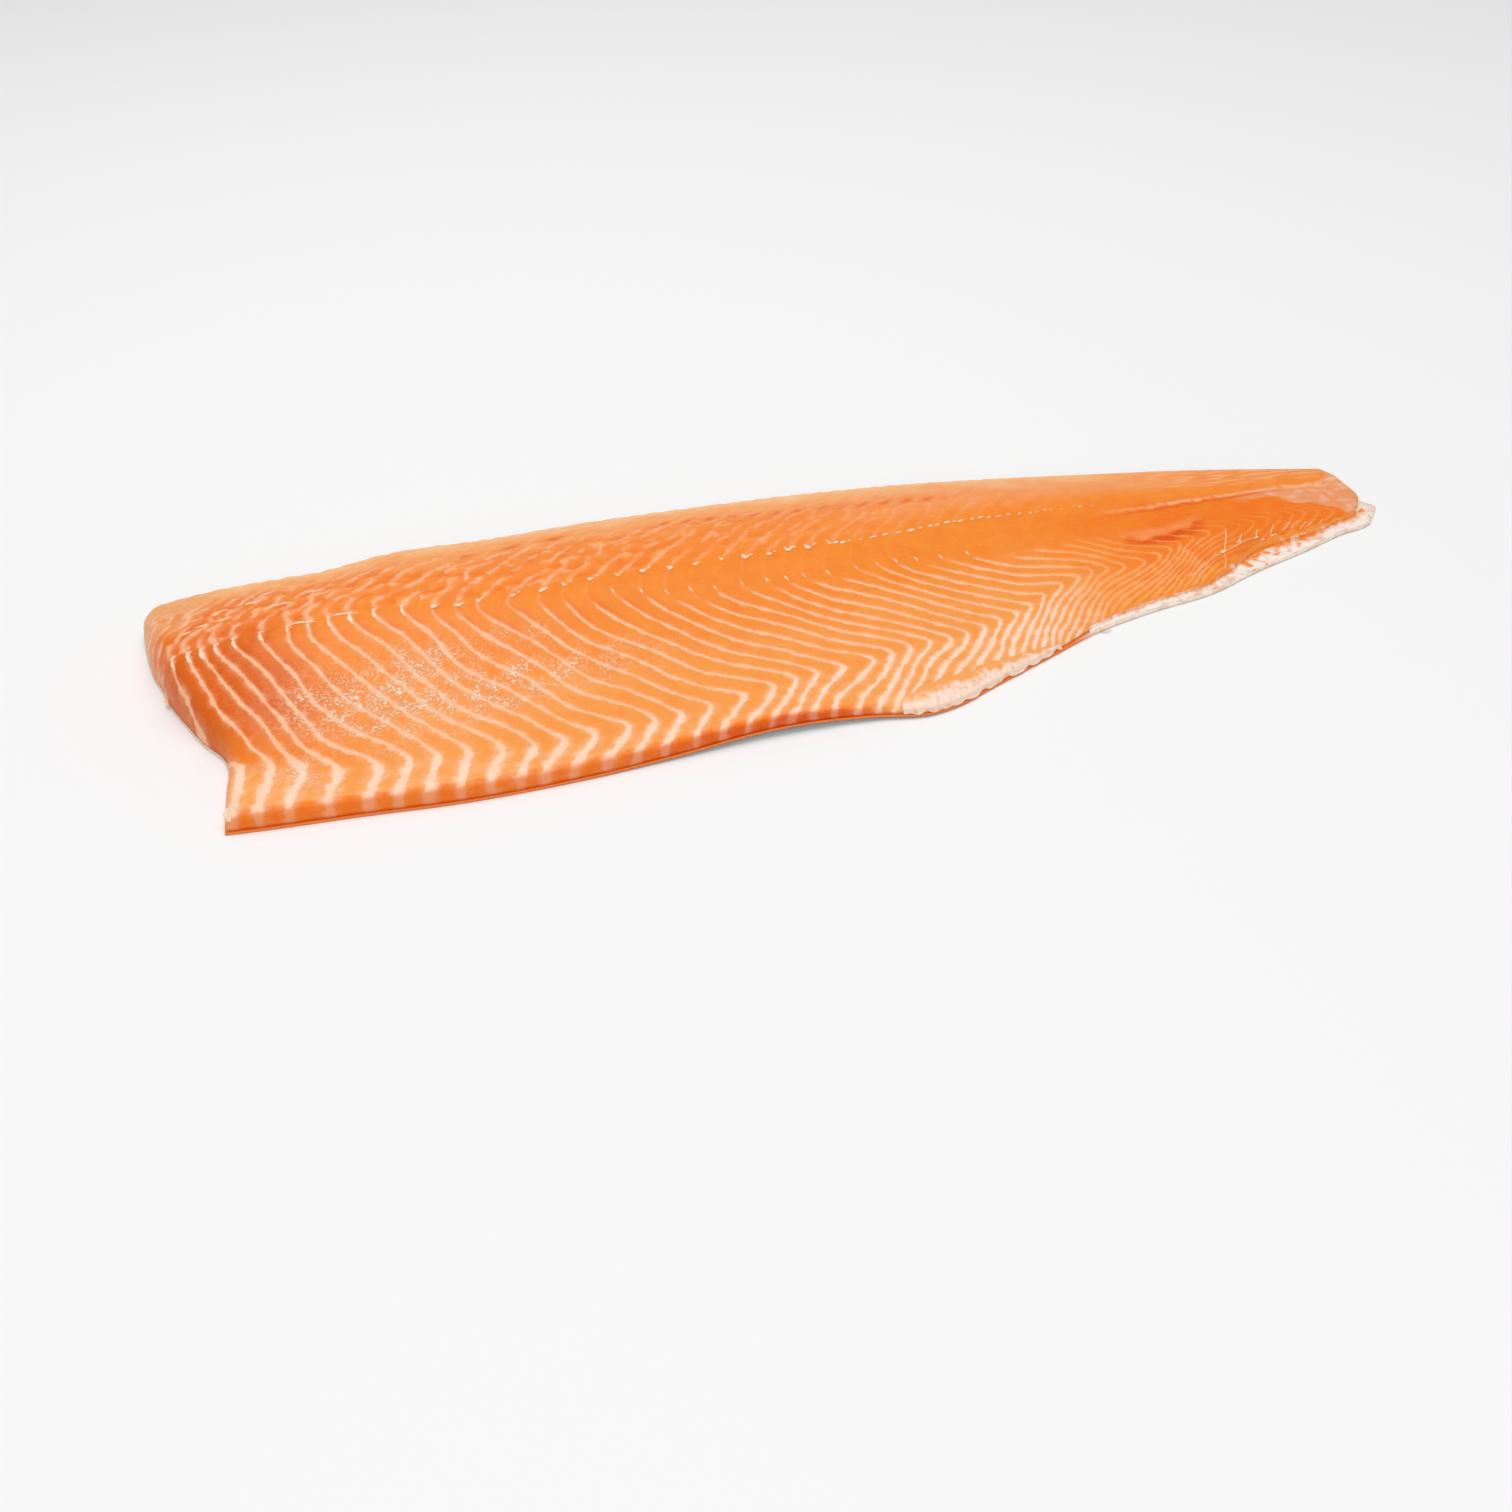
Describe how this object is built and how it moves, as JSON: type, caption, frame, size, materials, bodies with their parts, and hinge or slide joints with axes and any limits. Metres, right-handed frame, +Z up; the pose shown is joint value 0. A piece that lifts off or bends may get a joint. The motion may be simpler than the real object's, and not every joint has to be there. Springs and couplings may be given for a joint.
{
  "type": "raw salmon fillet",
  "caption": "Raw side of salmon with its skin on, lying skin down: orange flesh with pale muscle lines, a thin belly edge and a bare strip of skin near the tail",
  "frame": {"origin": "middle of the fillet's box seen from above, on the surface that it lies on", "axes": "+X from the head end to the tail, +Y from the belly edge to the back, +Z up from the skin to the cut face"},
  "size_m": [0.5655, 0.1717, 0.0286],
  "materials": {
    "salmon_flesh": "wet, soft, slightly translucent",
    "salmon_skin": "wet silver grey, pale on its inner side"
  },
  "bodies": {
    "root": {"flesh": "salmon_flesh", "skin": "salmon_skin"}
  },
  "joints": []
}
